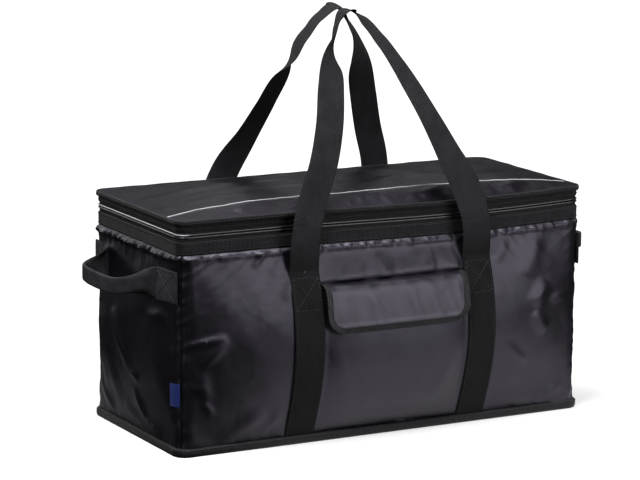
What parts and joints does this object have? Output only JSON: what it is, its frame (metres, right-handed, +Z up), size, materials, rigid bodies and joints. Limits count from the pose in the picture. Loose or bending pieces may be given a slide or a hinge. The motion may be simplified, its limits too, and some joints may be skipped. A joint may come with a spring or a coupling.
{
  "type": "portable cooler bag",
  "caption": "Large insulated soft cooler bag with a zipped lid, long webbing carry handles, grab handles on its ends and a front pocket with a flap.",
  "frame": {"origin": "centre of the underside, on the surface that the bag stands on", "axes": "+X along the bag's length to the right as seen from its front, front face towards -Y, +Z up"},
  "size_m": [0.775, 0.3574, 0.6009],
  "materials": {
    "shell": "satin coated woven polyester",
    "webbing": "matt ribbed polypropylene webbing",
    "foam": "closed-cell polyethylene foam",
    "lining": "silver coated lining",
    "board": "hollow polypropylene board",
    "zip": "black zip tape and nylon coil",
    "metal": "black painted zinc alloy",
    "piping": "silver-white reflective piping",
    "label": "plain blue woven label"
  },
  "bodies": {
    "box": {"front_panel": "shell", "back_panel": "shell", "left_panel": "shell", "right_panel": "shell", "base_panel": "shell", "pocket_panel": "shell", "front_foam": "foam", "back_foam": "foam", "left_foam": "foam", "right_foam": "foam", "base_foam": "foam", "front_liner": "lining", "back_liner": "lining", "left_liner": "lining", "right_liner": "lining", "base_liner": "lining", "base_board": "board", "base_binding": "webbing", "mouth_band": "webbing", "hinge_tape": "webbing", "lower_zip_tape": "zip", "lower_zip_coil": "zip", "front_strap_left": "webbing", "front_strap_right": "webbing", "back_strap_left": "webbing", "back_strap_right": "webbing", "left_tab_front": "webbing", "left_tab_rear": "webbing", "right_tab_front": "webbing", "right_tab_rear": "webbing", "pocket_loop_tape": "webbing", "side_label": "label"},
    "lid": {"lid_foam": "foam", "lid_front_strip": "shell", "lid_top_panel": "shell", "lid_liner": "lining", "lid_piping": "piping", "lid_skirt": "shell", "lid_binding": "webbing", "upper_zip_tape": "zip", "upper_zip_coil": "zip"},
    "front_handle_legs": {"front_leg_left": "webbing", "front_leg_right": "webbing"},
    "front_handle_loop": {"front_loop": "webbing"},
    "back_handle_legs": {"back_leg_left": "webbing", "back_leg_right": "webbing"},
    "back_handle_loop": {"back_loop": "webbing"},
    "left_handle": {"left_grip": "webbing"},
    "right_handle": {"right_grip": "webbing"},
    "flap": {"pocket_flap": "shell", "flap_binding": "webbing", "flap_hook_tape": "webbing"},
    "front_zip_slider": {"front_slider": "metal"},
    "rear_zip_slider": {"rear_slider": "metal"},
    "front_zip_pull": {"front_pull": "metal"},
    "rear_zip_pull": {"rear_pull": "metal"}
  },
  "joints": [
    {"name": "lid_hinge", "type": "hinge", "parent": "box", "child": "lid", "pos_m": [0, 0.1415, 0.313], "axis": [-1, 0, 0], "range_deg": [0, 105]},
    {"name": "front_handle_lean", "type": "hinge", "parent": "box", "child": "front_handle_legs", "pos_m": [0, -0.156, 0.247], "axis": [1, 0, 0], "range_deg": [0, 90]},
    {"name": "front_handle_drape", "type": "hinge", "parent": "front_handle_legs", "child": "front_handle_loop", "pos_m": [0, -0.156, 0.346], "axis": [1, 0, 0], "range_deg": [0, 70]},
    {"name": "back_handle_lean", "type": "hinge", "parent": "box", "child": "back_handle_legs", "pos_m": [0, 0.153, 0.247], "axis": [-1, 0, 0], "range_deg": [0, 63.1]},
    {"name": "back_handle_drape", "type": "hinge", "parent": "back_handle_legs", "child": "back_handle_loop", "pos_m": [0, 0.1527, 0.346], "axis": [-1, 0, 0], "range_deg": [0, 70]},
    {"name": "left_grip_swing", "type": "hinge", "parent": "box", "child": "left_handle", "pos_m": [-0.347, 0, 0.24], "axis": [0, 1, 0], "range_deg": [-50, 35]},
    {"name": "right_grip_swing", "type": "hinge", "parent": "box", "child": "right_handle", "pos_m": [0.347, 0, 0.24], "axis": [0, -1, 0], "range_deg": [-50, 35]},
    {"name": "pocket_flap_lift", "type": "hinge", "parent": "box", "child": "flap", "pos_m": [0, -0.1583, 0.232], "axis": [-1, 0, 0], "range_deg": [0, 120]},
    {"name": "front_slide", "type": "slide", "parent": "box", "child": "front_zip_slider", "axis": [0, -1, 0], "range_m": [0, 0.1]},
    {"name": "rear_slide", "type": "slide", "parent": "box", "child": "rear_zip_slider", "axis": [0, 1, 0], "range_m": [0, 0.09]},
    {"name": "front_pull_turn", "type": "hinge", "parent": "front_zip_slider", "child": "front_zip_pull", "pos_m": [0.3295, 0.0025, 0.313], "axis": [0, 0, 1], "range_deg": [0, 120]},
    {"name": "rear_pull_turn", "type": "hinge", "parent": "rear_zip_slider", "child": "rear_zip_pull", "pos_m": [0.3295, 0.0175, 0.313], "axis": [0, 0, -1], "range_deg": [0, 120]}
  ],
  "couplings": [
    {"joint": "back_handle_lean", "follows": "lid_hinge", "ratio": 0.6}
  ]
}
